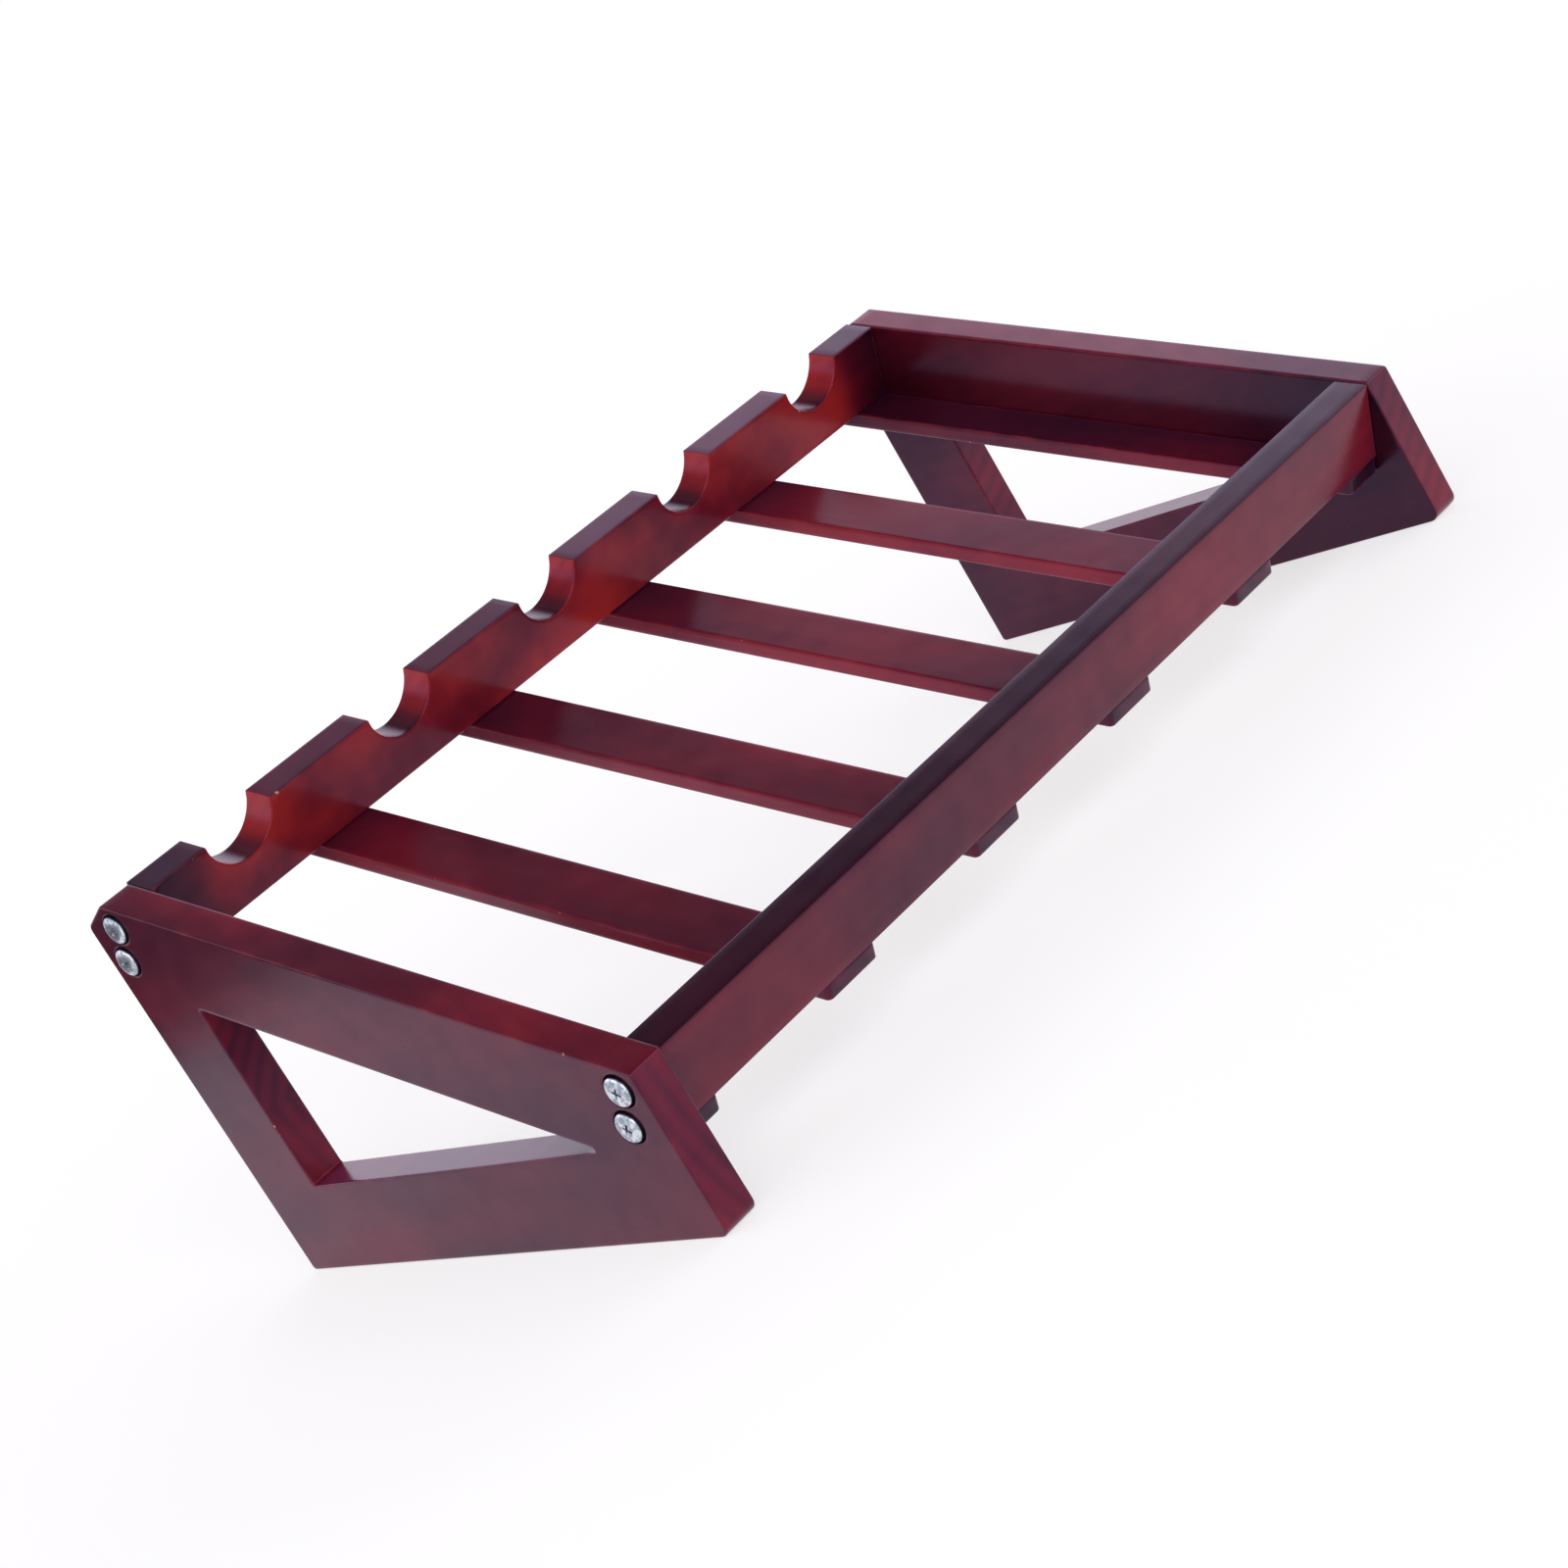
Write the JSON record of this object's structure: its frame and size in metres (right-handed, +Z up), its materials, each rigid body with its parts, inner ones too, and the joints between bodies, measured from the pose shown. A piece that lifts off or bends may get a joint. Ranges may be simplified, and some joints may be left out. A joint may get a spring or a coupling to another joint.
{
  "type": "display rack",
  "caption": "Low sloping wooden rack: end frames with triangular openings, a plain front rail, a notched back rail and slats beneath.",
  "frame": {"origin": "on the standing surface, under the middle of the rack", "axes": "+X along the rails, +Y from the low plain rail to the high notched rail, +Z up"},
  "size_m": [0.5704, 0.295, 0.1925],
  "materials": {
    "stained_wood": "satin lacquer over dark red mahogany stain",
    "zinc_plate": "bright zinc plate"
  },
  "bodies": {
    "root": {"end_frame_left": "stained_wood", "end_frame_right": "stained_wood", "notched_rail": "stained_wood", "plain_rail": "stained_wood", "slat_1": "stained_wood", "slat_2": "stained_wood", "slat_3": "stained_wood", "slat_4": "stained_wood", "slat_5": "stained_wood", "slat_6": "stained_wood", "end_screw_left_front_upper": "zinc_plate", "end_screw_left_front_lower": "zinc_plate", "end_screw_left_back_upper": "zinc_plate", "end_screw_left_back_lower": "zinc_plate", "end_screw_right_front_upper": "zinc_plate", "end_screw_right_front_lower": "zinc_plate", "end_screw_right_back_upper": "zinc_plate", "end_screw_right_back_lower": "zinc_plate", "slat_screw_front_1": "zinc_plate", "slat_screw_front_2": "zinc_plate", "slat_screw_front_3": "zinc_plate", "slat_screw_front_4": "zinc_plate", "slat_screw_front_5": "zinc_plate", "slat_screw_front_6": "zinc_plate", "slat_screw_back_1": "zinc_plate", "slat_screw_back_2": "zinc_plate", "slat_screw_back_3": "zinc_plate", "slat_screw_back_4": "zinc_plate", "slat_screw_back_5": "zinc_plate", "slat_screw_back_6": "zinc_plate"}
  },
  "joints": []
}
